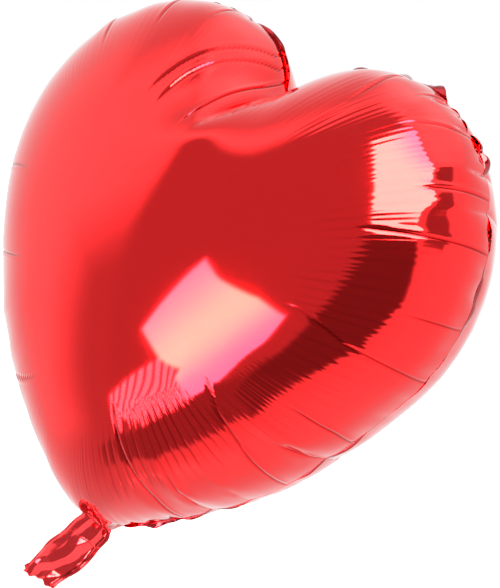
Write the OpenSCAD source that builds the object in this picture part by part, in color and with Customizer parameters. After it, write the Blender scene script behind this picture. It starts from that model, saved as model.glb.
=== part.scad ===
// Heart-shaped metallised foil balloon, inflated, with its flat inflation tail.
// Units are millimetres. +Z is up, the origin is the tie point at the neck,
// X runs across the lobes, Y is the depth, and the front film faces -Y.

/* [Heart outline] */

// Radius of each rounded lobe, inflated
lobe_radius = 101.5; // [92:0.5:112]
// Sideways distance of each lobe's centre from the middle
lobe_offset = 74; // [66:1:82]
// Height of the lobe centres above the neck
lobe_height = 206; // [195:1:220]
// Radius of the long arc of each side between neck and lobe
side_radius = 340; // [220:5:400]
// How much taller the heart is than its arcs alone would make it
height_stretch = 1.145; // [1:0.005:1.3]
// Radius of the rounded bottom of the notch
notch_radius = 6; // [3:0.5:15]
// Half width of the neck where the heart runs into the tail
neck_half_width = 13; // [8:0.5:20]

/* [Inflation] */

// Depth from the seam plane to the middle of each film
dome_depth = 107; // [60:1:120]
// Height of the deepest place above the neck
dome_height = 196; // [170:1:220]
// Depth of the pleats that gather each film into the seam
pleat_depth = 2.2; // [0:0.1:4]
// Pleats round the whole seam
pleat_count = 40; // [20:4:60]
// Thickness that stands for each film
film = 0.8; // [0.4:0.1:1.5]

/* [Seam margin] */

// Width of the heat-sealed margin outside the seam
margin_width = 3; // [2:0.5:8]
// Thickness that stands for the sealed margin
margin_thick = 1; // [0.5:0.1:2]
// Waviness of the margin to front and back
margin_wave = 1.4; // [0:0.1:3]

/* [Tail] */

// Length of the upper part of the tail, neck to fold
tail_upper_length = 26; // [20:1:40]
// Length of the lower part of the tail, fold to mouth
tail_lower_length = 28; // [20:1:60]
// Half width of the tail at the neck
tail_half_top = 13; // [8:0.5:16]
// Half width of the tail at the mouth
tail_half_mouth = 16; // [10:0.5:20]
// Thickness that stands for each ply of the tail
tail_film = 0.5; // [0.3:0.1:1]
// Half gap between the plies at the open mouth
mouth_half_gap = 4; // [1:0.1:5]
// Size of the creases in the tail plies
crumple = 0.7; // [0:0.1:1.5]
// Clearance above and below the fold line halfway down the tail
fold_gap = 1.2; // [0.8:0.1:3]
// Clearance between the heart and the top of the tail
neck_gap = 2.4; // [1.5:0.1:4]
// How far the mouth leans sideways
lean_side = 10; // [0:1:20]
// How far the mouth leans to the front
lean_front = 16; // [0:1:25]

/* [Valve] */

// Length of the self-sealing valve above the neck
valve_length = 96; // [60:1:140]
// Half width of the valve
valve_half_width = 9.5; // [6:0.5:12]
// Thickness that stands for each valve ply
valve_film = 0.25; // [0.2:0.05:0.5]

/* [Node] */

// Which sub-part to build

/* [Hidden] */

// segments round half the outline, and depth rings from seam to centre
HALF = 80;
RING = [1, 0.985, 0.955, 0.91, 0.84, 0.75, 0.63, 0.49, 0.33, 0.16];
M = len(RING) - 1;
centre = [0, dome_height];
rim_gap = 0.15;

// ---- right half of the outline, neck to notch, as [x, z] ----
// the side is one large arc from the neck that meets the lobe's arc smoothly
lobe_c = [lobe_offset, lobe_height];
neck_p = [neck_half_width, 0];
neck_d = neck_p - lobe_c;
arc_step = lobe_radius - side_radius;
meet_a = atan2(neck_d[1], neck_d[0])
    + acos((neck_d * neck_d + arc_step * arc_step - side_radius * side_radius) / (2 * arc_step * norm(neck_d)));
side_c = lobe_c + arc_step * [cos(meet_a), sin(meet_a)];
side_a0 = atan2(neck_p[1] - side_c[1], neck_p[0] - side_c[0]);
fillet_z = lobe_height + sqrt(pow(lobe_radius + notch_radius, 2) - lobe_offset * lobe_offset);
arc_a0 = meet_a;
arc_a1 = atan2(fillet_z - lobe_height, -lobe_offset);
fil_b0 = arc_a1 - 180;
half_flat = concat(
    [for (i = [0 : 60]) let (a = side_a0 + (meet_a - side_a0) * i / 60) side_c + side_radius * [cos(a), sin(a)]],
    [for (i = [1 : 120]) let (a = arc_a0 + (arc_a1 - arc_a0) * i / 120)
        [lobe_offset + lobe_radius * cos(a), lobe_height + lobe_radius * sin(a)]],
    [for (i = [1 : 10]) let (b = fil_b0 + (-90 - fil_b0) * i / 10)
        [notch_radius * cos(b), fillet_z + notch_radius * sin(b)]]);
half_raw = [for (p = half_flat) [p[0], p[1] * height_stretch]];
function run(p, i = 1, acc = [0]) = i >= len(p) ? acc
    : run(p, i + 1, concat(acc, [acc[i - 1] + norm(p[i] - p[i - 1])]));
half_run = run(half_raw);
half_len = half_run[len(half_run) - 1];
table_x = [for (i = [0 : len(half_raw) - 1]) [half_run[i], half_raw[i][0]]];
table_z = [for (i = [0 : len(half_raw) - 1]) [half_run[i], half_raw[i][1]]];
function half_at(s) = [max(0, lookup(s, table_x)), lookup(s, table_z)];
// whole outline: right half up to the notch, the left half back down, then the open neck line
SEAM = 2 * HALF + 1;
NECK = 6;
outline = concat(
    [for (i = [0 : HALF]) half_at(half_len * i / HALF)],
    [for (i = [1 : HALF]) let (p = half_at(half_len * (HALF - i) / HALF)) [-p[0], p[1]]],
    [for (i = [1 : NECK - 1]) [neck_half_width * (2 * i / NECK - 1), 0]]);
K = len(outline);
function out_n(i) = let (a = outline[max(0, i - 1)], b = outline[min(SEAM - 1, i + 1)], t = (b - a) / norm(b - a))
    [t[1], -t[0]];

// ---- film surface: depth falls from the middle to the seam, by direction ----
function facing(i) = let (d = outline[i] - centre) abs(atan2(d[0], d[1]));
// the shape of the fall-off by direction from straight up
function fall_p(f) = lookup(f, [[0, 3.6], [6, 3.2], [14, 2.3], [25, 1.85], [40, 1.8], [60, 1.92], [100, 1.95], [120, 2.3], [140, 2.05], [160, 1.9], [170, 2.0], [180, 2.4]]);
function fall_a(f) = lookup(f, [[0, 1.5], [6, 1.2], [14, 0.78], [25, 0.54], [40, 0.47], [60, 0.45], [100, 0.46], [120, 0.51], [140, 0.43], [160, 0.44], [170, 0.6], [180, 0.98]]);
function ends(i) = max(0, min(1, i / 6, (SEAM - 1 - i) / 6));
function pleat(i, s) = pleat_depth * ends(i) * sin(360 * pleat_count * i / (SEAM - 1)) * exp(-pow((s - 0.955) / 0.05, 2));
function depth(i, s) = let (f = facing(i))
    max(0, dome_depth * pow(1 - pow(s, fall_p(f)), fall_a(f)) + pleat(i, s) * (s < 1 ? 1 : 0));
function surf(j, i) = let (s = RING[j], q = centre + s * (outline[i] - centre))
    [q[0], -(rim_gap + film + depth(i, s)), q[1]];
grid = [for (j = [0 : M]) [for (i = [0 : K - 1]) surf(j, i)]];
top_out = [0, -(rim_gap + film + dome_depth), dome_height];
function wrapi(i) = (i + K) % K;
function unit(v) = v / max(1e-9, norm(v));
function inward(j, i) =
    let (a = grid[j][wrapi(i + 1)] - grid[j][wrapi(i - 1)],
         b = (j < M ? grid[j + 1][i] : top_out) - grid[max(0, j - 1)][i],
         n = unit(cross(a, b)))
    (n[1] > 0 ? n : -n);
function skin(j, i) = j == 0 ? [grid[0][i][0], -rim_gap, grid[0][i][2]]
    : let (p = grid[j][i] + film * inward(j, i)) [p[0], min(p[1], -rim_gap), p[2]];

// closed shell: outer grid, inner grid and rim, with a fan at the middle
function panel_points() = concat(
    [for (j = [0 : M]) for (i = [0 : K - 1]) grid[j][i]], [top_out],
    [for (j = [0 : M]) for (i = [0 : K - 1]) skin(j, i)], [top_out + [0, film, 0]]);
L = (M + 1) * K;
function nx(i) = (i + 1) % K;
panel_faces = concat(
    [for (j = [0 : M - 1]) for (i = [0 : K - 1]) for (f = [[j*K + i, j*K + nx(i), (j+1)*K + nx(i)], [j*K + i, (j+1)*K + nx(i), (j+1)*K + i]]) f],
    [for (i = [0 : K - 1]) [M*K + i, M*K + nx(i), L]],
    [for (j = [0 : M - 1]) for (i = [0 : K - 1]) for (f = [[j*K + i, (j+1)*K + nx(i), j*K + nx(i)], [j*K + i, (j+1)*K + i, (j+1)*K + nx(i)]]) f + [L+1, L+1, L+1]],
    [for (i = [0 : K - 1]) [M*K + nx(i) + L + 1, M*K + i + L + 1, 2*L + 1]],
    [for (i = [0 : K - 1]) for (f = [[i, i + L + 1, nx(i) + L + 1], [i, nx(i) + L + 1, nx(i)]]) f]);

module front_panel() color([0.80, 0.05, 0.09]) polyhedron(points = panel_points(), faces = panel_faces, convexity = 6);
module back_panel() color([0.76, 0.04, 0.08]) mirror([0, 1, 0]) polyhedron(points = panel_points(), faces = panel_faces, convexity = 6);

// ---- heat-sealed margin: a flat wavy ribbon round the outline, open at the neck ----
function wave(i, k) = k * margin_wave * ends(i) * sin(360 * pleat_count * i / (SEAM - 1) + 90);
function margin_ring(i, k) = let (p = outline[i] + out_n(i) * (0.06 + margin_width * k), w = wave(i, k)) [p[0], w, p[1]];
function margin_points() = [for (i = [0 : SEAM - 1]) for (c = [[0, -1], [1, -1], [1, 1], [0, 1]])
    margin_ring(i, c[0]) + [0, c[1] * margin_thick / 2, 0]];
margin_faces = concat(
    [[0, 3, 2, 1]], [[4*(SEAM-1), 4*(SEAM-1) + 1, 4*(SEAM-1) + 2, 4*(SEAM-1) + 3]],
    [for (i = [0 : SEAM - 2]) for (c = [0 : 3]) let (a = 4*i + c, b = 4*i + (c + 1) % 4) for (f = [[a, b, b + 4], [a, b + 4, a + 4]]) f]);
module seam_margin() color([0.90, 0.25, 0.28]) polyhedron(points = margin_points(), faces = margin_faces, convexity = 6);

// ---- plies: thin sheets between two heights, y given by a function of x and z ----
function tail_half(z) = tail_half_top + (tail_half_mouth - tail_half_top) * min(1, -z / (tail_upper_length + tail_lower_length));
function crease(u, z) = crumple * (sin(u * 260 + z * 23) * 0.6 + sin(u * 430 - z * 31 + 50) * 0.4);
function tail_gap(u, z) = let (open = lookup(z, [[-tail_upper_length - tail_lower_length, 1], [-tail_upper_length - 10, 0.72], [-tail_upper_length, 0.05], [-tail_upper_length * 0.55, 0.35], [0, 0]]))
    0.15 + mouth_half_gap * open * pow(1 - pow(abs(u), 4), 0.5);
function calm(z) = min(1, abs(z) / 8, abs(z + tail_upper_length) / 8);
function ply_y(u, z, t) = tail_gap(u, z) + t + max(0, crumple * 0.6 + crease(u, z)) * calm(z) * (1 - pow(abs(u), 6));
// the tail leans off the heart's axis more and more towards its mouth
function lean(z) = pow(max(0, -z) / (tail_upper_length + tail_lower_length), 1.2);
TU = 12;
module ply(z0, z1, rows, side, thick, kind) {
    pts = [for (t = [0, thick]) for (r = [0 : rows]) for (c = [0 : TU])
        let (z = z0 + (z1 - z0) * r / rows, u = -1 + 2 * c / TU,
             ragged = (kind == 1 && r == rows) ? 1.6 * sin(c * 71) : 0)
        [u * (kind == 2 ? valve_half(z) : tail_half(z)) - lean_side * lean(z),
         side * (kind == 2 ? 0.04 + t : ply_y(u, z, t)) - lean_front * lean(z), z + ragged]];
    R = (rows + 1) * (TU + 1);
    function id(t, r, c) = t * R + r * (TU + 1) + c;
    fs = concat(
        [for (r = [0 : rows - 1]) for (c = [0 : TU - 1]) for (f = [[id(1,r,c), id(1,r,c+1), id(1,r+1,c+1)], [id(1,r,c), id(1,r+1,c+1), id(1,r+1,c)]]) f],
        [for (r = [0 : rows - 1]) for (c = [0 : TU - 1]) for (f = [[id(0,r,c), id(0,r+1,c+1), id(0,r,c+1)], [id(0,r,c), id(0,r+1,c), id(0,r+1,c+1)]]) f],
        [for (c = [0 : TU - 1]) for (f = [[id(0,0,c), id(0,0,c+1), id(1,0,c+1)], [id(0,0,c), id(1,0,c+1), id(1,0,c)]]) f],
        [for (c = [0 : TU - 1]) for (f = [[id(0,rows,c), id(1,rows,c+1), id(0,rows,c+1)], [id(0,rows,c), id(1,rows,c), id(1,rows,c+1)]]) f],
        [for (r = [0 : rows - 1]) for (f = [[id(0,r,0), id(1,r+1,0), id(0,r+1,0)], [id(0,r,0), id(1,r,0), id(1,r+1,0)]]) f],
        [for (r = [0 : rows - 1]) for (f = [[id(0,r,TU), id(0,r+1,TU), id(1,r+1,TU)], [id(0,r,TU), id(1,r+1,TU), id(1,r,TU)]]) f]);
    rev = [for (f = fs) [f[0], f[2], f[1]]];
    polyhedron(points = pts, faces = side < 0 ? fs : rev, convexity = 6);
}
function valve_half(z) = lookup(z, [[0, valve_half_width], [valve_length * 0.5, valve_half_width * 0.85], [valve_length, valve_half_width]]);

module tail_upper_front_ply() color([0.80, 0.05, 0.09]) ply(-neck_gap, fold_gap - tail_upper_length, 12, -1, tail_film, 0);
module tail_upper_back_ply() color([0.74, 0.04, 0.08]) ply(-neck_gap, fold_gap - tail_upper_length, 12, 1, tail_film, 0);
module tail_lower_front_ply() color([0.82, 0.06, 0.10]) ply(-tail_upper_length - fold_gap, -tail_upper_length - tail_lower_length, 14, -1, tail_film, 1);
module tail_lower_back_ply() color([0.74, 0.04, 0.08]) ply(-tail_upper_length - fold_gap, -tail_upper_length - tail_lower_length, 14, 1, tail_film, 1);
module valve_front_ply() color([0.85, 0.80, 0.78]) ply(valve_length, 3, 8, -1, valve_film, 2);
module valve_back_ply() color([0.82, 0.78, 0.76]) ply(valve_length, 3, 8, 1, valve_film, 2);

front_panel();
back_panel();
seam_margin();
valve_front_ply();
valve_back_ply();
tail_upper_front_ply();
tail_upper_back_ply();
tail_lower_front_ply();
tail_lower_back_ply();
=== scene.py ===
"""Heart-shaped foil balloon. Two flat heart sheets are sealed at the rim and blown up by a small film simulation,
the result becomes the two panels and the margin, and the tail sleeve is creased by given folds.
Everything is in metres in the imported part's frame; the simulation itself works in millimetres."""

import math

import bpy
import numpy as np
from mathutils import Matrix, Vector


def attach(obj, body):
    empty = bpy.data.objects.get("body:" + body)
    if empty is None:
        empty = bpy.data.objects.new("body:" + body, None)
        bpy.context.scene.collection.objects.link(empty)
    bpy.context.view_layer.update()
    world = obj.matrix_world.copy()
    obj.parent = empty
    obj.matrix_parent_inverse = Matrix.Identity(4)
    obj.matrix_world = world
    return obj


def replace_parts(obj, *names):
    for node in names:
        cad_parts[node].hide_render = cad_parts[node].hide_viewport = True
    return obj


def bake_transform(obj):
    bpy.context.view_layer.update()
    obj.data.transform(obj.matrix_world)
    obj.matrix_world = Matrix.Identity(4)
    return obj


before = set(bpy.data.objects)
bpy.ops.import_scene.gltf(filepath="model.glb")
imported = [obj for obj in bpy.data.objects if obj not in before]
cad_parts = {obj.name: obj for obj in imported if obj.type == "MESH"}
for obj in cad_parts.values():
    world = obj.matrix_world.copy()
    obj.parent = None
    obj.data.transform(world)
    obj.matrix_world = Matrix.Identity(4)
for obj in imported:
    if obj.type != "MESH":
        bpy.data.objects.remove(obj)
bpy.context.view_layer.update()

# ------------------------------------------------------------------ flat cut of the film
STRETCH = 1.145
LOBE_R, LOBE_X, LOBE_Z, NECK_HALF, SIDE_R, NOTCH_R, HEM = 148.0, 77.0, 232.0, 14.0, 300.0, 6.0, 5.0
MID_Z = 190.24 * STRETCH


def flat_outline():
    """Fine closed outline of the flat heart, counter-clockwise from the neck's right end: side arc, lobe arc, notch."""
    c, n0 = np.array([LOBE_X, LOBE_Z]), np.array([NECK_HALF, 0.0])
    dd = n0 - c
    k = (dd @ dd + (LOBE_R - SIDE_R) ** 2 - SIDE_R**2) / (2 * (LOBE_R - SIDE_R))
    au = math.atan2(dd[1], dd[0]) + math.acos(k / np.linalg.norm(dd))
    u = np.array([math.cos(au), math.sin(au)])
    side_c = c + (LOBE_R - SIDE_R) * u
    e0 = math.atan2(n0[1] - side_c[1], n0[0] - side_c[0])
    pts = [(NECK_HALF, 0.0)]
    pts += [tuple(side_c + SIDE_R * np.array([math.cos(e), math.sin(e)])) for e in np.linspace(e0, au, 200)[1:-1]]
    top = c + LOBE_R * u
    a0 = math.atan2(top[1] - c[1], top[0] - c[0])
    zn = LOBE_Z + math.sqrt((LOBE_R + NOTCH_R) ** 2 - LOBE_X**2)
    v = np.array([-LOBE_X, zn - LOBE_Z])
    v /= np.linalg.norm(v)
    a1 = math.atan2(v[1], v[0])
    for t in np.linspace(0, 1, 240):
        a = a0 + (a1 - a0) * t
        pts.append((c[0] + LOBE_R * math.cos(a), c[1] + LOBE_R * math.sin(a)))
    b0 = math.atan2(-v[1], -v[0])
    for t in np.linspace(0, 1, 14)[1:]:
        b = b0 + (-math.pi / 2 - b0) * t
        pts.append((NOTCH_R * math.cos(b), zn + NOTCH_R * math.sin(b)))
    right = np.array(pts)
    left = right[::-1][1:].copy()
    left[:, 0] *= -1
    whole = np.concatenate([right, left])
    whole[:, 1] *= STRETCH
    return whole


def resample(line, count):
    q = np.vstack([line, line[:1]])
    s = np.concatenate([[0], np.cumsum(np.linalg.norm(np.diff(q, axis=0), axis=1))])
    at = np.arange(count) / count * s[-1]
    return np.stack([np.interp(at, s, q[:, k]) for k in range(2)], axis=1), s[-1]


class Sheets:
    """Two flat sheets on a ring-and-block grid, joined at the seam, with margin rows outside it."""

    def __init__(self, n, m, inner=0.42):
        count = 4 * n
        line, around = resample(flat_outline(), count)
        ds = around / count
        mid = np.array([0.0, MID_Z])
        s = 1 - (1 - inner) * np.linspace(0, 1, m + 1)
        ring = mid + s[:, None, None] * (line[None] - mid)
        bottom = int(round(count - NECK_HALF / ds)) % count
        c0 = (bottom + n // 2) % count

        def quarter(k):
            return (c0 + k * n + np.arange(n + 1)) % count

        right, top, left, bot = (quarter(k) for k in range(4))
        rim = ring[m]
        block = np.zeros((n + 1, n + 1, 2))
        for v in range(n + 1):
            block[v, n], block[n - v, 0] = rim[right[v]], rim[left[v]]
            block[n, n - v], block[0, v] = rim[top[v]], rim[bot[v]]
        uu, vv = np.meshgrid(np.linspace(0, 1, n + 1), np.linspace(0, 1, n + 1))
        uu, vv = uu[..., None], vv[..., None]
        fill = (
            (1 - vv) * block[0][None] + vv * block[n][None] + (1 - uu) * block[:, 0][:, None] + uu * block[:, n][:, None]
            - (1 - uu) * (1 - vv) * block[0, 0] - uu * (1 - vv) * block[0, n]
            - (1 - uu) * vv * block[n, 0] - uu * vv * block[n, n]
        )
        block[1:-1, 1:-1] = fill[1:-1, 1:-1]
        for _ in range(400):
            block[1:-1, 1:-1] = 0.25 * (block[:-2, 1:-1] + block[2:, 1:-1] + block[1:-1, :-2] + block[1:-1, 2:])
        tan = np.roll(line, -1, 0) - np.roll(line, 1, 0)
        tan /= np.linalg.norm(tan, axis=1)[:, None]
        out = np.stack([tan[:, 1], -tan[:, 0]], 1)
        rest, at = [], 0
        self.hem = []
        for h in (2, 1):
            rest.append(line + out * HEM * h / 2)
            self.hem.append(np.arange(at, at + count))
            at += count
        self.seam = np.arange(at, at + count)
        rest.append(line)
        at += count
        self.sides = []
        for _ in range(2):
            rows = [self.seam]
            for j in range(1, m + 1):
                rows.append(np.arange(at, at + count))
                rest.append(ring[j])
                at += count
            grid = np.zeros((n + 1, n + 1), int)
            last = rows[-1]
            for v in range(n + 1):
                grid[v, n], grid[n - v, 0] = last[right[v]], last[left[v]]
                grid[n, n - v], grid[0, v] = last[top[v]], last[bot[v]]
            grid[1:-1, 1:-1] = np.arange(at, at + (n - 1) ** 2).reshape(n - 1, n - 1)
            rest.append(block[1:-1, 1:-1].reshape(-1, 2))
            at += (n - 1) ** 2
            self.sides.append((np.array(rows), grid))
        self.rest, self.n, self.m, self.count, self.ds = np.concatenate(rest), n, m, count, ds

        def strip(a, b):
            return np.stack([a, np.roll(a, -1), np.roll(b, -1), b], 1)

        def line3(a):
            return np.stack([a[:-2].ravel(), a[1:-1].ravel(), a[2:].ravel()], 1)

        def loop3(r):
            return np.stack([np.roll(r, 1), r, np.roll(r, -1)], 1)

        quads, bends, cross = [], [], []
        for k, (rows, grid) in enumerate(self.sides):
            q = [strip(rows[j], rows[j + 1]) for j in range(m)]
            q.append(np.stack([grid[:-1, :-1], grid[:-1, 1:], grid[1:, 1:], grid[1:, :-1]], -1).reshape(-1, 4))
            q = np.concatenate(q)
            quads.append(q[:, ::-1] if k else q)
            bends += [loop3(rows[j]) for j in range(1, m + 1)] + [line3(rows)]
            inside = np.full(count, -1)
            for v in range(1, n):
                inside[right[v]], inside[left[n - v]] = grid[v, n - 1], grid[v, 1]
                inside[top[n - v]], inside[bot[v]] = grid[n - 1, v], grid[1, v]
            ok = inside >= 0
            bends += [np.stack([rows[m - 1][ok], rows[m][ok], inside[ok]], 1), line3(grid), line3(grid.T)]
            cross.append(np.stack([self.hem[-1], self.seam, rows[1]], 1))
        self.quads = quads
        self.hem_quads = np.concatenate([strip(self.hem[0], self.hem[1]), strip(self.hem[1], self.seam)])
        self.bends, self.cross = np.concatenate(bends), np.concatenate(cross)
        self.hem_bends = np.concatenate([loop3(r) for r in [*self.hem, self.seam]])


def edges(q):
    e = np.concatenate([q[:, [0, 1]], q[:, [1, 2]], q[:, [2, 3]], q[:, [3, 0]]])
    e.sort(axis=1)
    d = np.concatenate([q[:, [0, 2]], q[:, [1, 3]]])
    d.sort(axis=1)
    return np.unique(e, axis=0), d


class Film:
    """Film that pulls when stretched and hardly pushes when squeezed, with a little bending stiffness, under gas pressure."""

    def __init__(self, sheets, stiff, pressure, hem_push, hem_stiff, cross_stiff, push=0.02):
        q, h, r = np.concatenate(sheets.quads), sheets.hem_quads, sheets.rest
        (e1, d1), (e2, d2) = edges(q), edges(h)
        self.e = np.concatenate([e1, d1, e2, d2])
        self.length = np.linalg.norm(r[self.e[:, 0]] - r[self.e[:, 1]], axis=1)
        sizes = (len(e1), len(d1), len(e2), len(d2))
        self.pull = np.repeat([1.0, 0.5, 2.0, 1.0], sizes)
        self.push = np.repeat([push, push * 0.5, hem_push, hem_push * 0.5], sizes)
        self.t = np.concatenate([sheets.bends, sheets.hem_bends, sheets.cross])
        kb = np.repeat([stiff, hem_stiff, cross_stiff], (len(sheets.bends), len(sheets.hem_bends), len(sheets.cross)))
        l1 = np.maximum(np.linalg.norm(r[self.t[:, 1]] - r[self.t[:, 0]], axis=1), 1e-3)
        l2 = np.maximum(np.linalg.norm(r[self.t[:, 2]] - r[self.t[:, 1]], axis=1), 1e-3)
        self.w = (1 / l1, -(1 / l1 + 1 / l2), 1 / l2)
        self.kb = kb / (0.5 * (l1 + l2))
        self.q, self.p, self.nv = q, pressure, len(r)
        self.x = np.zeros((self.nv, 3))
        self.x[:, 0], self.x[:, 2] = r[:, 0], r[:, 1]
        self.v = np.zeros_like(self.x)
        ks = np.bincount(self.e[:, 0], self.pull, self.nv) + np.bincount(self.e[:, 1], self.pull, self.nv)
        kbs = sum(np.bincount(self.t[:, i], self.kb * self.w[i] ** 2, self.nv) for i in range(3))
        self.inv = (1.0 / (ks + 4.0 * kbs))[:, None]

    def run(self, steps, damp=0.985, dt=0.9):
        e, t, q, w, nv = self.e, self.t, self.q, self.w, self.nv
        for _ in range(steps):
            x = self.x
            d = x[e[:, 1]] - x[e[:, 0]]
            size = np.sqrt((d * d).sum(1)) + 1e-12
            st = size - self.length
            f = (np.where(st > 0, self.pull, self.push) * st / size)[:, None] * d
            c = w[0][:, None] * x[t[:, 0]] + w[1][:, None] * x[t[:, 1]] + w[2][:, None] * x[t[:, 2]]
            c *= -self.kb[:, None]
            gas = np.cross(x[q[:, 2]] - x[q[:, 0]], x[q[:, 3]] - x[q[:, 1]]) * (0.125 * self.p)
            total = np.empty((nv, 3))
            for k in range(3):
                a = np.bincount(e[:, 0], f[:, k], nv) - np.bincount(e[:, 1], f[:, k], nv)
                for i in range(3):
                    a += np.bincount(t[:, i], w[i] * c[:, k], nv)
                total[:, k] = a + np.bincount(q.ravel(), np.repeat(gas[:, k], 4), nv)
            self.v = damp * self.v + dt * dt * total * self.inv
            self.x = x + self.v


def refine(a, xa, b):
    """Carries the shape xa of sheets a over to the finer sheets b."""
    xb = np.zeros((len(b.rest), 3))

    def around(r):
        t = np.arange(b.count) * a.count / b.count
        i = np.floor(t).astype(int) % a.count
        f = (t - np.floor(t))[None, :, None]
        return r[:, i] * (1 - f) + r[:, (i + 1) % a.count] * f

    def between(r, t):
        j = np.minimum(np.floor(t).astype(int), len(r) - 2)
        f = (t - j).reshape((-1,) + (1,) * (r.ndim - 1))
        return r[j] * (1 - f) + r[j + 1] * f

    for h0, h1 in zip(a.hem, b.hem):
        xb[h1] = around(xa[h0][None])[0]
    for (r0, g0), (r1, g1) in zip(a.sides, b.sides):
        xb[r1] = between(around(xa[r0]), np.linspace(0, a.m, b.m + 1))
        t = np.linspace(0, a.n, b.n + 1)
        g = between(xa[g0], t)
        g = between(g.transpose(1, 0, 2), t).transpose(1, 0, 2)
        xb[g1[1:-1, 1:-1]] = g[1:-1, 1:-1]
    return xb


def inflate():
    noise = np.random.default_rng(3)
    coarse = Sheets(48, 12)
    film = None
    for pressure, stiff, steps in ((2e-3, 0.2, 600), (1e-3, 0.1, 500), (4e-4, 0.05, 700)):
        last, film = film, Film(coarse, stiff, pressure, 0.3, stiff, stiff * 0.1)
        if last is None:
            film.x[:, 1] += noise.normal(0, 0.2, film.nv)
            for side, sign in ((0, -1), (1, 1)):
                rows, grid = coarse.sides[side]
                for j, r in enumerate(rows[1:], 1):
                    film.x[r, 1] += sign * 25 * j / coarse.m
                film.x[grid[1:-1, 1:-1], 1] += sign * 25
        else:
            film.x, film.v = last.x, last.v
        film.run(steps)
    fine = Sheets(100, 26)
    end = Film(fine, 0.03, 3e-4, 0.4, 0.03, 0.003)
    end.x = refine(coarse, film.x, fine)
    end.x[:, 1] += noise.normal(0, 0.04, end.nv)
    end.run(1300)
    x = end.x.copy()
    x[:, 2] -= x[fine.seam][:, 2].min()
    return fine, x


sheets, shape = inflate()
M, N = sheets.m, sheets.count


def calm_rim():
    """Irons the smallest puckers out of the rows nearest the seam, most of all low on the right."""
    place = np.arange(N) / N
    share = 0.72 + 0.23 * np.exp(-(((place - 0.17) / 0.16) ** 4)) - 0.40 * np.exp(-(((place - 0.40) / 0.06) ** 4))
    done = set()
    lines = [sheets.hem[0], sheets.hem[1]] + [rows[j] for rows, _ in sheets.sides for j in range(9)]
    for n, r in enumerate(lines):
        if int(r[0]) in done:
            continue
        done.add(int(r[0]))
        a = shape[r]
        for _ in range(14):
            a = 0.25 * np.roll(a, 1, 0) + 0.5 * a + 0.25 * np.roll(a, -1, 0)
        j = 0 if n < 2 else (n - 2) % 9
        w = (share * (1 if j < 5 else (9 - j) / 5))[:, None]
        w = w * (1 - np.exp(-((np.minimum(place, 1 - place) / 0.012) ** 2)))[:, None]
        w = w * (1 - np.exp(-(((place - 0.489) / 0.02) ** 2)))[:, None]
        shape[r] = shape[r] * (1 - w) + a * w


calm_rim()


# ------------------------------------------------------------------ mesh helpers
def smooth_noise(size, knots, seed, low=-1.0, high=1.0):
    """A smooth periodic random line with that many knots, sampled size times."""
    r = np.random.default_rng(seed).uniform(low, high, knots)
    t = np.arange(size) * knots / size
    i = np.floor(t).astype(int)
    f = t - i
    f = f * f * (3 - 2 * f)
    return r[i % knots] * (1 - f) + r[(i + 1) % knots] * f


def spline_around(a, k):
    """Catmull-Rom through a closed line of points along axis 1, k samples to each."""
    p0, p1, p2, p3 = (np.roll(a, s, 1) for s in (1, 0, -1, -2))
    out = []
    for j in range(k):
        t = j / k
        out.append(0.5 * (2 * p1 + (p2 - p0) * t + (2 * p0 - 5 * p1 + 4 * p2 - p3) * t**2 + (3 * p1 - p0 - 3 * p2 + p3) * t**3))
    return np.stack(out, 2).reshape(a.shape[0], -1, a.shape[2])


def spline_rows(a, ts):
    """Catmull-Rom through open rows along axis 0 at the row numbers ts."""
    pad = np.concatenate([2 * a[:1] - a[1:2], a, 2 * a[-1:] - a[-2:-1]])
    i = np.minimum(np.floor(ts).astype(int), len(a) - 2)
    t = (ts - i)[:, None, None]
    p0, p1, p2, p3 = pad[i], pad[i + 1], pad[i + 2], pad[i + 3]
    return 0.5 * (2 * p1 + (p2 - p0) * t + (2 * p0 - 5 * p1 + 4 * p2 - p3) * t**2 + (3 * p1 - p0 - 3 * p2 + p3) * t**3)


def make_mesh(name, points_mm, faces, material, sharp=False, crease=None):
    mesh = bpy.data.meshes.new(name)
    mesh.from_pydata((np.asarray(points_mm) / 1000.0).tolist(), [], faces)
    mesh.polygons.foreach_set("use_smooth", [not sharp] * len(mesh.polygons))
    mesh.materials.append(material)
    mesh.update()
    # painted shade: per-vertex darkness along creases, read by the foil material
    if crease is not None:
        layer = mesh.attributes.new("crease", "FLOAT", "POINT")
        layer.data.foreach_set("value", np.asarray(crease, np.float32))
    obj = bpy.data.objects.new(name, mesh)
    bpy.context.scene.collection.objects.link(obj)
    return obj


def step(x, a, b):
    t = np.clip((x - a) / (b - a), 0, 1)
    return t * t * (3 - 2 * t)


# ------------------------------------------------------------------ materials
def nodes_of(name):
    m = bpy.data.materials.new(name)
    m.use_nodes = True
    nt = m.node_tree
    return m, nt, nt.nodes["Principled BSDF"]


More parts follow.
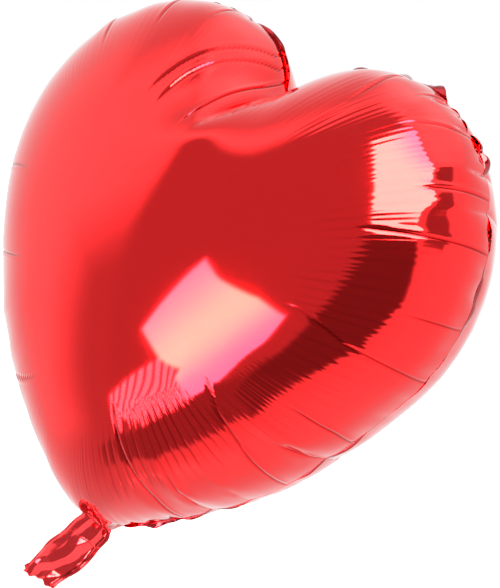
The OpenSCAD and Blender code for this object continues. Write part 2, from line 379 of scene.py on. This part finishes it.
def foil(name, tint, dark_tint, rough, coat_ior, wrinkle, wrinkle_size):
    """Red lacquer over mirror-bright metallised film: a metal under a clear coat, with a slight print-through grain and
    painted shade along creases.
    """
    m, nt, b = nodes_of(name)
    place = nt.nodes.new("ShaderNodeTexCoord")
    cloud = nt.nodes.new("ShaderNodeTexNoise")
    cloud.inputs["Scale"].default_value = 14.0
    cloud.inputs["Detail"].default_value = 4.0
    nt.links.new(place.outputs["Object"], cloud.inputs["Vector"])
    mix = nt.nodes.new("ShaderNodeMix")
    mix.data_type = "RGBA"
    mix.inputs["A"].default_value = (*tint, 1)
    mix.inputs["B"].default_value = (*dark_tint, 1)
    nt.links.new(cloud.outputs["Fac"], mix.inputs["Factor"])
    # painted shade: a vertex attribute darkens the base colour and thins the clear coat along creases and above the
    # neck
    shade_attr = nt.nodes.new("ShaderNodeAttribute")
    shade_attr.attribute_name = "crease"
    dim = nt.nodes.new("ShaderNodeMix")
    dim.data_type = "RGBA"
    dim.inputs["B"].default_value = (0.30, 0.001, 0.002, 1)
    coat_outside_shade = nt.nodes.new("ShaderNodeMath")
    coat_outside_shade.operation = "SUBTRACT"
    coat_outside_shade.inputs[0].default_value = 1.0
    nt.links.new(shade_attr.outputs["Fac"], coat_outside_shade.inputs[1])
    nt.links.new(coat_outside_shade.outputs["Value"], b.inputs["Coat Weight"])
    nt.links.new(mix.outputs["Result"], dim.inputs["A"])
    nt.links.new(shade_attr.outputs["Fac"], dim.inputs["Factor"])
    nt.links.new(dim.outputs["Result"], b.inputs["Base Color"])
    haze = nt.nodes.new("ShaderNodeTexNoise")
    haze.inputs["Scale"].default_value = 55.0
    haze.inputs["Detail"].default_value = 3.0
    nt.links.new(place.outputs["Object"], haze.inputs["Vector"])
    span = nt.nodes.new("ShaderNodeMapRange")
    span.inputs["To Min"].default_value = rough * 0.7
    span.inputs["To Max"].default_value = rough * 1.4
    nt.links.new(haze.outputs["Fac"], span.inputs["Value"])
    nt.links.new(span.outputs["Result"], b.inputs["Roughness"])
    b.inputs["Metallic"].default_value = 1.0
    b.inputs["Coat Roughness"].default_value = 0.04
    b.inputs["Coat IOR"].default_value = coat_ior
    grain = nt.nodes.new("ShaderNodeTexNoise")
    grain.inputs["Scale"].default_value = wrinkle_size
    grain.inputs["Detail"].default_value = 2.0
    nt.links.new(place.outputs["Object"], grain.inputs["Vector"])
    bump = nt.nodes.new("ShaderNodeBump")
    bump.inputs["Strength"].default_value = wrinkle
    bump.inputs["Distance"].default_value = 0.0006
    nt.links.new(grain.outputs["Fac"], bump.inputs["Height"])
    nt.links.new(bump.outputs["Normal"], b.inputs["Normal"])
    return m


red = foil("red_foil", (0.96, 0.006, 0.008), (0.90, 0.004, 0.006), 0.07, 1.34, 0.05, 90.0)
tail_red = foil("tail_foil", (0.88, 0.008, 0.014), (0.66, 0.004, 0.008), 0.12, 1.45, 0.015, 90.0)
# painted shade: the sealed margin uses a darker copy of the red foil so the rim reads dark
margin_red_shaded = foil("sealed_margin", (0.50, 0.008, 0.014), (0.30, 0.005, 0.010), 0.12, 1.36, 0.06, 120.0)


def clear_film(name):
    m, nt, b = nodes_of(name)
    place = nt.nodes.new("ShaderNodeTexCoord")
    n = nt.nodes.new("ShaderNodeTexNoise")
    n.inputs["Scale"].default_value = 120.0
    nt.links.new(place.outputs["Object"], n.inputs["Vector"])
    ramp = nt.nodes.new("ShaderNodeMapRange")
    ramp.inputs["To Min"].default_value = 0.12
    ramp.inputs["To Max"].default_value = 0.30
    nt.links.new(n.outputs["Fac"], ramp.inputs["Value"])
    nt.links.new(ramp.outputs["Result"], b.inputs["Roughness"])
    tone = nt.nodes.new("ShaderNodeMix")
    tone.data_type = "RGBA"
    tone.inputs["A"].default_value = (0.86, 0.84, 0.82, 1)
    tone.inputs["B"].default_value = (0.78, 0.77, 0.76, 1)
    nt.links.new(n.outputs["Fac"], tone.inputs["Factor"])
    nt.links.new(tone.outputs["Result"], b.inputs["Base Color"])
    b.inputs["Transmission Weight"].default_value = 0.7
    b.inputs["IOR"].default_value = 1.45
    bump = nt.nodes.new("ShaderNodeBump")
    bump.inputs["Strength"].default_value = 0.2
    bump.inputs["Distance"].default_value = 0.0003
    nt.links.new(n.outputs["Fac"], bump.inputs["Height"])
    nt.links.new(bump.outputs["Normal"], b.inputs["Normal"])
    return m


film = clear_film("valve_film")
for node in ("valve_front_ply", "valve_back_ply"):
    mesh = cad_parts[node].data
    mesh.materials.clear()
    mesh.materials.append(film)

# ------------------------------------------------------------------ panels
K = 5
N2 = N * K
turn = np.arange(N2) / N2
TS = np.concatenate([np.arange(0, 6, 0.75), np.linspace(6, M, 26)])
S_AT = 1 - 0.58 * TS / M
neck_gap = int(math.ceil(2 * NECK_HALF / sheets.ds))
from_neck = np.minimum(turn, 1 - turn - 2 * NECK_HALF / (N * sheets.ds)) * N * sheets.ds
from_neck = np.abs(from_neck)


def valleys(rows):
    """Places round the seam where the blown-up film dips between two puffs."""
    ring = shape[rows[4]]
    wide = 21
    kernel = np.ones(wide) / wide
    mean = np.stack([np.convolve(np.concatenate([ring[-wide:, k], ring[:, k], ring[:wide, k]]), kernel, "same")[wide:-wide] for k in range(3)], 1)
    middle = np.array([0, 0, MID_Z - 39.2])
    rise = np.linalg.norm(ring - middle, axis=1) - np.linalg.norm(mean - middle, axis=1)
    found = [i for i in range(N) if rise[i] == rise[np.arange(i - 3, i + 4) % N].min() and rise[i] < -0.05]
    return found, rise


# creases of the front film: places round the seam, and how far in they reach, outermost first
CREASES = [
    ((89, 91, 94, 100), (1.0, 0.87, 0.67, 0.50)),
    ((120, 123, 125), (1.0, 0.75, 0.60)),
    ((49, 51, 55, 61), (1.0, 0.75, 0.55, 0.44)),
    ((22, 21, 17, 16), (1.0, 0.78, 0.53, 0.44)),
    ((68, 70, 71), (1.0, 0.87, 0.66)),
    ((103, 105), (1.0, 0.76)),
    ((132, 134), (1.0, 0.74)),
    ((322, 323, 326), (1.0, 0.67, 0.44)),
    ((352, 359, 374), (1.0, 0.71, 0.50)),
    ((299, 296, 292), (0.8, 0.64, 0.50)),
    ((236, 236), (0.9, 0.72)),
    ((221, 225), (1.0, 0.80)),
    ((252, 251), (0.9, 0.67)),
    ((204, 213, 218, 221), (0.95, 0.71, 0.55, 0.44)),
    ((207, 217, 223, 227), (0.95, 0.71, 0.55, 0.46)),
    ((201, 203, 203), (0.96, 0.64, 0.45)),
    ((166, 163, 161), (0.9, 0.78, 0.70)),
    ((145, 148, 150), (1.0, 0.87, 0.77)),
    ((158, 157), (1.0, 0.86)),
]


def panel(name, side, seed):
    rows, grid = sheets.sides[side]
    ring = spline_rows(spline_around(shape[rows], K), TS)
    e_i = np.roll(ring, -1, 1) - np.roll(ring, 1, 1)
    e_j = np.gradient(ring, axis=0)
    normal = np.cross(e_i, e_j)
    normal /= np.linalg.norm(normal, axis=2)[..., None] + 1e-12
    if (normal[..., 1].mean() > 0) == (side == 0):
        normal = -normal
    s = S_AT[:, None]
    # fine gathers that cross the ring between the flat middle and the puffs, coarser and further in beside the neck
    beside = np.exp(-(((turn - 0.085) / 0.075) ** 4)) + np.exp(-(((turn - 0.26) / 0.07) ** 4)) * 0.6
    calm = 1 - 0.62 * step(turn, 0.44, 0.56)
    count = 285
    phase = 2 * math.pi * (count * turn + 0.9 * smooth_noise(N2, 61, seed) + 0.35 * smooth_noise(N2, 173, seed + 1))
    inner = 0.56 - 0.09 * np.minimum(beside, 1) + 0.05 * smooth_noise(N2, 37, seed + 2)
    outer = 0.82 - 0.12 * np.minimum(beside, 1) + 0.05 * smooth_noise(N2, 91, seed + 3)
    high = 0.026 * (1.0 + 0.8 * smooth_noise(N2, 143, seed + 4)) * (1 + 0.5 * smooth_noise(N2, 23, seed + 5))
    band = step(s, inner - 0.06, inner + 0.05) * (1 - step(s, outer - 0.06, outer + 0.06))
    lift = (high * calm)[None] * band * np.cos(phase)[None]
    pitch = 142 * turn + 0.5 * smooth_noise(N2, 61, seed + 6)
    each = np.random.default_rng(seed + 7).uniform(0.35, 1.0, 160)[np.round(pitch).astype(int) % 160]
    away = pitch - np.round(pitch)
    depth = (0.030 + 0.16 * np.exp(-(((turn - 0.085) / 0.065) ** 4)) + 0.05 * np.exp(-(((turn - 0.26) / 0.06) ** 2))) * each * calm
    lift = lift - (depth * np.exp(-((away / 0.17) ** 2)))[None] * band
    # painted shade: darker lines along the fine gathers, half as strong on the back film
    crease = (np.minimum(0.75, depth * 3.2) * np.exp(-((away / 0.13) ** 2)))[None] * band * (1 if side == 0 else 0.5)
    # long creases that run in from the dips between the puffs
    found, rise = valleys(rows)
    pick = np.random.default_rng(seed + 9)
    place = np.arange(N2) / K
    lines = []
    for at, reach in CREASES if side == 0 else ():
        near = min(found, key=lambda i: abs(i - at[0]))
        shift = near - at[0] if abs(near - at[0]) < 4.5 else 0
        lines.append((np.interp(s[::-1, 0], reach[::-1], [p + shift * (q - 0.5) / 0.5 for p, q in zip(at, reach)][::-1])[::-1][:, None], reach[-1], pick.uniform(0.55, 0.8)))
    taken = [at[0] for at, _ in CREASES] if side == 0 else []
    for i in found:
        if all(abs(i - k) > 4.5 for k in taken):
            reach = pick.uniform(0.62, 0.84)
            lines.append((i + pick.uniform(-4.0, 4.0) * (1 - s), reach, pick.uniform(0.2, 0.55) * (0.6 if i > 200 else 1)))
    for where, reach, deep in lines:
        off = (place[None] - where + N / 2) % N - N / 2
        off = off * sheets.ds * s
        groove = np.exp(-((off / 0.9) ** 2)) - 0.45 * np.exp(-(((off - 2.2) / 1.5) ** 2))
        fade = step(s, reach - 0.02, reach + 0.09) * (1 - step(s, 0.975, 0.998))
        lift = lift - deep * groove * fade
        # painted shade: a dark line along each long crease
        crease = np.maximum(crease, min(1.0, deep * 1.5) * np.exp(-((off / 0.65) ** 2)) * fade)
    # gathers that fan out of the neck
    near = np.exp(-((from_neck / 24.0) ** 2))[None] * step(s, 0.7, 0.95)
    lift = lift + 0.35 * near * np.abs(np.sin(from_neck / 4.6 + 1.5 * smooth_noise(N2, 90, seed + 20)))[None]
    ends = (1 - step(s, 0.985, 1.0)) * step(s, 0.42, 0.46)
    ring = ring + normal * (lift * ends)[..., None]
    verts = ring.reshape(-1, 3)
    J = len(TS)
    idx = np.arange(J * N2).reshape(J, N2)
    a, b = idx[:-1], idx[1:]
    quads = np.stack([a, np.roll(a, -1, 1), np.roll(b, -1, 1), b], -1).reshape(-1, 4)
    # the flat middle keeps its own grid; its edge cells take in every point of the innermost ring
    n = sheets.n
    inside = np.full(grid.shape, -1)
    base = len(verts)
    inside[1:-1, 1:-1] = base + np.arange((n - 1) ** 2).reshape(n - 1, n - 1)
    verts = np.vstack([verts, shape[grid[1:-1, 1:-1]].reshape(-1, 3)])
    where = {int(v): k for k, v in enumerate(rows[-1])}
    last = idx[-1]

    def edge(p, q):
        """Points of the innermost ring from grid point p up to, not including, q."""
        kp, kq = where[int(p)], where[int(q)]
        if (kp + 1) % N == kq:
            return [int(last[(kp * K + j) % N2]) for j in range(K)]
        return [int(last[(kp * K - j) % N2]) for j in range(K)]

    faces = quads.tolist()
    for v in range(n):
        for u in range(n):
            corner = [(v, u), (v, u + 1), (v + 1, u + 1), (v + 1, u)]
            face = []
            for c in range(4):
                p, q = corner[c], corner[(c + 1) % 4]
                on_p = p[0] in (0, n) or p[1] in (0, n)
                same = (p[0] == q[0] and p[0] in (0, n)) or (p[1] == q[1] and p[1] in (0, n))
                if on_p and same:
                    face += edge(grid[p], grid[q])
                elif on_p:
                    face.append(int(last[where[int(grid[p])] * K]))
                else:
                    face.append(int(inside[p]))
            faces.append(face)
    if side == 1:
        faces = [f[::-1] for f in faces]
    # painted shade: darker film fading out above the neck
    crease = np.maximum(crease, 0.5 * np.exp(-((from_neck / 15.0) ** 2))[None] * step(s, 0.84, 0.97))
    crease = crease * np.maximum(ends, step(s, 0.9, 0.95))
    obj = make_mesh(name, verts, faces, red, crease=np.concatenate([crease.ravel(), np.zeros(len(verts) - crease.size)]))
    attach(obj, "envelope")
    return obj


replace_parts(panel("front_film", 0, 11), "front_panel")
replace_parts(panel("back_film", 1, 47), "back_panel")


# ------------------------------------------------------------------ sealed margin
def margin():
    edge = 0.2 * shape[sheets.hem[0]] + 0.8 * shape[sheets.hem[1]]
    seam = shape[sheets.seam]
    right = step(seam[:, 0], -20, 60)[:, None]
    part = np.arange(N) * sheets.ds
    flap = np.exp(-(((part - 48) / 26) ** 2))[:, None] * (1.2 + 0.35 * np.sin(part / 3.1))[:, None]
    place = np.arange(N) / N
    lobe = np.exp(-(((place - 0.385) / 0.075) ** 6))[:, None]
    away = (edge - seam) / np.linalg.norm(edge - seam, axis=1)[:, None]
    edge = edge + lobe * away * (3.4 * np.abs(np.sin(math.pi * part / 18.0)) - 0.4)[:, None]
    edge = edge + flap * np.stack([2.0 + 0 * part, -0.8 + 1.2 * np.sin(part / 4.3), -3.6 + 0.8 * np.sin(part / 2.9)], 1)
    edge = edge + right * (np.array([0, 1.6, 0]) - 0.35 * (edge - seam) * (1 - step(seam[:, 2], 180, 260))[:, None])
    line = np.stack([edge, 0.5 * (edge + shape[sheets.seam]), shape[sheets.seam]])
    line = spline_around(line, K)
    line = spline_rows(line, np.array([0, 0.5, 1.0, 1.5, 2.0]))
    keep = N2 - int(2 * NECK_HALF / sheets.ds * K) - 4
    start = 3
    line = line[:, start:keep]
    cut = 0.35 * smooth_noise(line.shape[1], 160, 5)
    outward = line[0] - line[1]
    outward /= np.linalg.norm(outward, axis=1)[:, None]
    line[0] += outward * cut[:, None]
    e_i = np.gradient(line, axis=1)
    e_j = np.gradient(line, axis=0)
    normal = np.cross(e_i, e_j)
    normal /= np.linalg.norm(normal, axis=2)[..., None] + 1e-12
    press = 0.02 * np.cos(2 * math.pi * 950 * turn[start:keep])[None, :, None] * np.array([0, 0.6, 1, 0.6, 0])[:, None, None]
    J, W = line.shape[:2]
    top, low = line + normal * (0.07 + press), line - normal * (0.07 - press)
    verts = np.concatenate([top.reshape(-1, 3), low.reshape(-1, 3)])
    idx = np.arange(J * W).reshape(J, W)
    size = J * W
    faces = []
    a, b = idx[:-1, :-1], idx[:-1, 1:]
    c, d = idx[1:, 1:], idx[1:, :-1]
    up = np.stack([a, b, c, d], -1).reshape(-1, 4)
    faces += up.tolist() + (up[:, ::-1] + size).tolist()
    for r, flip in ((0, 1), (J - 1, 0)):
        q = np.stack([idx[r, :-1], idx[r, 1:], idx[r, 1:] + size, idx[r, :-1] + size], -1)
        faces += (q[:, ::-1] if flip else q).tolist()
    for col, flip in ((0, 0), (W - 1, 1)):
        q = np.stack([idx[:-1, col], idx[1:, col], idx[1:, col] + size, idx[:-1, col] + size], -1)
        faces += (q[:, ::-1] if flip else q).tolist()
    # painted shade: the band takes the darkened margin foil
    obj = make_mesh("margin_band", verts, faces, margin_red_shaded)
    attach(obj, "envelope")
    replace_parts(obj, "seam_margin")


margin()

# ------------------------------------------------------------------ tail sleeve
UPPER, LOWER = 26.0, 28.0
TOTAL = UPPER + LOWER


def lean(z):
    return (np.maximum(0, -z) / TOTAL) ** 1.2


def creases(u, z, seed):
    """Crushed film: flat three-cornered facets between points that stand up or down by chance."""
    r = np.random.default_rng(seed)
    h = r.uniform(-1, 1, (12, 12))
    p = (u + 0.13 * np.sin(z * 0.17 + seed) + 1.3) / 2.6 * 6
    q = (8 - z + 3.0 * np.sin(2.6 * u + seed)) / 9.5
    i, j = np.clip(np.floor(p).astype(int), 0, 10), np.clip(np.floor(q).astype(int), 0, 10)
    a, b = p - i, q - j
    near = h[j, i] * (1 - a - b) + h[j, i + 1] * a + h[j + 1, i] * b
    far = h[j + 1, i + 1] * (a + b - 1) + h[j, i + 1] * (1 - b) + h[j + 1, i] * (1 - a)
    return 1.35 * np.where(a + b < 1, near, far)


def ply(name, side, z0, z1, rows, seed, node, body_a, body_b, start, end, open_end):
    cols = 56
    zz, uu = np.meshgrid(np.linspace(z0, z1, rows + 1), np.linspace(-1, 1, cols + 1), indexing="ij")
    t = np.clip(-zz / TOTAL, 0, 1)
    half = 15.4 - 2.2 * step(zz, -7, 1) - 2.4 * step(zz, 1, 8) + 1.4 * np.sin(math.pi * t) - 1.6 * step(t, 0.7, 1.0) + 0.4 * np.sin(zz * 0.21 + 1.0)
    seal = 1 - step(np.abs(uu), 0.80, 0.90)
    gap = np.interp(t.ravel(), [0, 0.09, 0.25, 0.44, 0.62, 1.0], [0.5, 1.4, 1.9, 1.5, 2.6, 3.6]).reshape(t.shape)
    gap = gap * np.sqrt(np.maximum(0, 1 - uu**4))
    fold = creases(uu, zz, seed) * (0.25 + 0.75 * step(t, 0.02, 0.3))
    pleat = 0.9 * np.abs(np.sin(uu * 3.6 + 0.5 * seed)) * np.exp(-((zz / 20.0) ** 2)) * (1 - 0.8 * step(zz, -6, 1))
    y = 0.10 + seal * np.maximum(0.05, gap + fold + pleat)
    wave = 0.8 * np.sin(zz * 0.22 + uu * 1.7 + 0.4) * step(t, 0.05, 0.3) + 0.4 * np.sin(zz * 0.4 + uu * 3.0) * np.abs(uu) ** 3
    ragged = 0.0
    if open_end:
        last = step(-zz, -z1 - 6, -z1)
        ragged = last * (1.5 * np.sin(uu * 4.1 + 0.7) + 0.6 * np.sin(uu * 13 + seed) + 1.2 * (uu * uu - 0.3))
    points = np.stack([uu * half - 14.5 * lean(zz), side * y + wave - 14.5 * lean(zz), zz + ragged + 4.0 * t * t], -1)
    e_u, e_z = np.gradient(points, axis=1), np.gradient(points, axis=0)
    normal = np.cross(e_u, e_z)
    normal /= np.linalg.norm(normal, axis=2)[..., None]
    if (normal[..., 1].mean() > 0) != (side > 0):
        normal = -normal
    outer, inner = points, points - normal * 0.09
    verts = np.concatenate([outer.reshape(-1, 3), inner.reshape(-1, 3)])
    idx = np.arange(outer[..., 0].size).reshape(outer.shape[:2])
    size = idx.size
    quad = np.stack([idx[:-1, :-1], idx[:-1, 1:], idx[1:, 1:], idx[1:, :-1]], -1).reshape(-1, 4)
    rim = np.concatenate([idx[0, :], idx[1:, -1], idx[-1, -2::-1], idx[-2:0:-1, 0]])
    band = np.stack([rim, rim + size, np.roll(rim, -1) + size, np.roll(rim, -1)], -1)
    faces = quad.tolist() + (quad[:, ::-1] + size).tolist() + band.tolist()
    if side > 0:
        faces = [f[::-1] for f in faces]
    obj = make_mesh(name, verts, faces, tail_red)
    obj.data.polygons.foreach_set("use_smooth", [i < len(faces) - len(band) for i in range(len(faces))])
    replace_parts(obj, node)
    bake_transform(obj)


NECK_BEND = ((0, 0, 0.006), (0, 0, -0.006))
FOLD_BEND = ((0, -0.0047, -0.019), (0, -0.0087, -0.033))
ply("tail_neck_front", -1, 8.0, -13.0, 34, 3, "tail_upper_front_ply", "envelope", "tail_upper", *NECK_BEND, False)
ply("tail_neck_back", 1, 8.0, -13.0, 34, 8, "tail_upper_back_ply", "envelope", "tail_upper", *NECK_BEND, False)
ply("tail_mouth_front", -1, -13.0, -TOTAL, 70, 3, "tail_lower_front_ply", "tail_upper", "tail_lower", *FOLD_BEND, True)
ply("tail_mouth_back", 1, -13.0, -TOTAL, 70, 8, "tail_lower_back_ply", "tail_upper", "tail_lower", *FOLD_BEND, True)


# ------------------------------------------------------------------ studio
def direction(az, el):
    a, e = math.radians(az), math.radians(el)
    return np.array([math.sin(a) * math.cos(e), -math.cos(a) * math.cos(e), math.sin(e)])


def inside_window(d, corners, soft):
    """1 inside the window whose corners are directions, in order, 0 outside, with an edge soft degrees wide."""
    c = [direction(*p) for p in corners]
    mid = sum(c)
    mid /= np.linalg.norm(mid)
    out = np.full(len(d), 1.0)
    for p, q in zip(c, c[1:] + c[:1]):
        n = np.cross(p, q)
        n /= np.linalg.norm(n)
        if n @ mid < 0:
            n = -n
        dist = np.degrees(np.arcsin(np.clip(d @ n, -1, 1)))
        out = np.minimum(out, step(dist, -soft / 2, soft / 2))
    return np.where(d @ mid > 0, out, 0)


ROOM_LOW = [(-37, -64), (-35, -5), (-38, 24), (40, 24), (40, -64)]
ROOM_SIDE = [(-70, -74), (-52, -12), (-30, 2), (0, 2), (0, -74)]
ROOM_HIGH = [(-38, 0), (-42, 30), (-47, 54), (-72, 72), (30, 83), (40, 58), (40, 0)]
FLOOR_SHADE = [(-40, -48), (-20, -78), (20, -75), (44, -69), (56, -57), (65, -43), (67, -24), (28, -21), (13, -42)]
DOORWAY = [(33, -41), (36, 27), (66, 29), (76, 2), (69, -27), (54, -44)]
BOX_LOW = [(-23, -28), (-10, -4), (-2, -9), (4, -38), (-12, -31)]
BOX_LOW_2 = [(-7, -7), (8, -9.5), (22, -14), (23, -25), (15, -45), (-1, -36)]
BOX_STRIP = [(-31, -42), (-12, -30), (2, -35), (15, -43), (14, -50), (0, -54), (-27, -49)]
BOX_HIGH = [(32, 29), (65, 30), (80, 54), (47, 80), (3, 62)]
STAND = [(72, 27), (78, 48), (90, 58), (112, 56), (106, 42), (92, 26)]
SHADE_LEFT = [(-66, 34), (-128, 36), (-128, 62), (-66, 70)]


def studio_light(d):
    """Radiance that reaches the balloon from each direction: a dim room in front, white walls, two soft boxes."""
    az = np.degrees(np.arctan2(d[:, 0], -d[:, 1]))
    el = np.degrees(np.arcsin(np.clip(d[:, 2], -1, 1)))
    wall = 0.95 + 0.95 * np.exp(-(((az + 48) / 24) ** 2)) * step(el, -64, -44)
    wall += 0.55 * np.exp(-(((az - 92) / 34) ** 2)) + 0.8 * step(el, 48, 74)
    under = (1 - step(el, -64, -48)) * step(az, -175, -150) * (1 - step(az, -40, -10))
    wall = wall * (1 - under) + 0.8 * under
    light = np.repeat(wall[:, None], 3, 1)

    def lay(share, colour):
        return light * (1 - share[:, None]) + np.asarray(colour) * share[:, None]

    room = np.maximum(inside_window(d, ROOM_LOW, 6), inside_window(d, ROOM_HIGH, 9))
    light = lay(inside_window(d, ROOM_SIDE, 24), (0.62, 0.62, 0.62))
    light = lay(inside_window(d, SHADE_LEFT, 20), (0.86, 0.86, 0.86))
    light = lay(room, (0.58, 0.58, 0.58))
    light = lay(inside_window(d, FLOOR_SHADE, 4), (0.36, 0.36, 0.36))
    light = lay(inside_window(d, DOORWAY, 4), (0.22, 0.22, 0.22))
    light = lay(inside_window(d, STAND, 3), (0.42, 0.42, 0.42))
    # the soft boxes have a warm tube across the middle and cooler ends
    across = d @ direction(-22, -22) - d @ direction(12, -40)
    warm = np.exp(-(((across - 0.02) / 0.115) ** 2))[:, None]
    low = np.array([5.0, 7.0, 13.0]) * (1 - warm) + np.array([18.0, 21.0, 15.0]) * warm
    high_mix = step(el + 0.25 * az, 64, 90)[:, None]
    high = np.array([18.0, 21.5, 17.5]) * (1 - high_mix) + np.array([9.0, 9.5, 15.0]) * high_mix
    slats = np.abs(((az + 0.25 * el) / 3.4) % 1.0 - 0.5) * 2
    striped = np.array([6.5, 6.3, 8.0]) * (1.0 - 0.92 * (1 - step(slats, 0.16, 0.56)))[:, None]
    for corners, colour in ((BOX_STRIP, striped), (BOX_LOW, low), (BOX_LOW_2, low), (BOX_HIGH, high)):
        light = lay(inside_window(d, corners, 1.4), colour)
    return light


def dome():
    rings, segs, radius = 360, 720, 12.0
    el = np.radians(np.linspace(-90, 90, rings + 1))
    az = np.radians(np.arange(segs) * 360.0 / segs)
    e, a = np.meshgrid(el, az, indexing="ij")
    d = np.stack([np.sin(a) * np.cos(e), -np.cos(a) * np.cos(e), np.sin(e)], -1)
    idx = np.arange(e.size).reshape(e.shape)
    q = np.stack([idx[:-1], np.roll(idx[:-1], -1, 1), np.roll(idx[1:], -1, 1), idx[1:]], -1).reshape(-1, 4)
    m = bpy.data.materials.new("studio_light")
    m.use_nodes = True
    m.cycles.emission_sampling = "NONE"
    nt = m.node_tree
    nt.nodes.clear()
    colour = nt.nodes.new("ShaderNodeAttribute")
    colour.attribute_name = "radiance"
    glow = nt.nodes.new("ShaderNodeEmission")
    out = nt.nodes.new("ShaderNodeOutputMaterial")
    nt.links.new(colour.outputs["Color"], glow.inputs["Color"])
    nt.links.new(glow.outputs["Emission"], out.inputs["Surface"])
    flat = d.reshape(-1, 3)
    obj = make_mesh("studio_dome", (flat * radius + np.array([0, 0, 0.18])) * 1000.0, q.tolist(), m)
    light = studio_light(flat)
    layer = obj.data.attributes.new("radiance", "FLOAT_COLOR", "POINT")
    layer.data.foreach_set("color", np.concatenate([light, np.ones((len(light), 1))], 1).astype(np.float32).ravel())
    obj.visible_camera = False
    obj.visible_shadow = False
    return obj


def floor():
    m, nt, b = nodes_of("floor_white")
    place = nt.nodes.new("ShaderNodeTexCoord")
    n = nt.nodes.new("ShaderNodeTexNoise")
    n.inputs["Scale"].default_value = 3.0
    nt.links.new(place.outputs["Object"], n.inputs["Vector"])
    tone = nt.nodes.new("ShaderNodeMix")
    tone.data_type = "RGBA"
    tone.inputs["A"].default_value = (0.95, 0.95, 0.95, 1)
    tone.inputs["B"].default_value = (0.93, 0.93, 0.93, 1)
    nt.links.new(n.outputs["Fac"], tone.inputs["Factor"])
    nt.links.new(tone.outputs["Result"], b.inputs["Base Color"])
    b.inputs["Roughness"].default_value = 0.9
    b.inputs["Emission Color"].default_value = (1, 1, 1, 1)
    b.inputs["Emission Strength"].default_value = 0.35
    h = 9000.0
    obj = make_mesh("floor", [(-h, -h, -75), (h, -h, -75), (h, h, -75), (-h, h, -75)], [(0, 1, 2, 3)], m)
    obj.visible_glossy = False
    return obj


dome()
floor()
world = bpy.data.worlds.new("white")
world.use_nodes = True
world.node_tree.nodes["Background"].inputs["Color"].default_value = (1, 1, 1, 1)
world.node_tree.nodes["Background"].inputs["Strength"].default_value = 1.0
bpy.context.scene.world = world
bpy.context.scene.view_settings.view_transform = "Standard"

# ------------------------------------------------------------------ camera
AZ, EL, ROLL, DIST, FOCAL, CX, CY = 31.968, 4.515, 25.155, 0.941358, 1405.469, -41.146, -10.629
back = Vector(direction(AZ, EL))
side = (-back).cross(Vector((0, 0, 1))).normalized()
up = side.cross(-back)
roll = math.radians(ROLL)
r2 = side * math.cos(roll) + up * math.sin(roll)
u2 = -side * math.sin(roll) + up * math.cos(roll)
aim = (-back - r2 * (CX / FOCAL) + u2 * (CY / FOCAL)).normalized()
r2 = (r2 - aim * r2.dot(aim)).normalized()
u2 = r2.cross(aim)
cam = bpy.data.objects.new("camera", bpy.data.cameras.new("camera"))
bpy.context.scene.collection.objects.link(cam)
cam.data.sensor_width = 36.0
cam.data.lens = FOCAL / 588.0 * 36.0
cam.matrix_world = Matrix((
    (r2.x, u2.x, -aim.x, back.x * DIST),
    (r2.y, u2.y, -aim.y, back.y * DIST),
    (r2.z, u2.z, -aim.z, back.z * DIST + 0.180),
    (0, 0, 0, 1),
))
cam.data.clip_start, cam.data.clip_end = 0.01, 60.0
bpy.context.scene.camera = cam
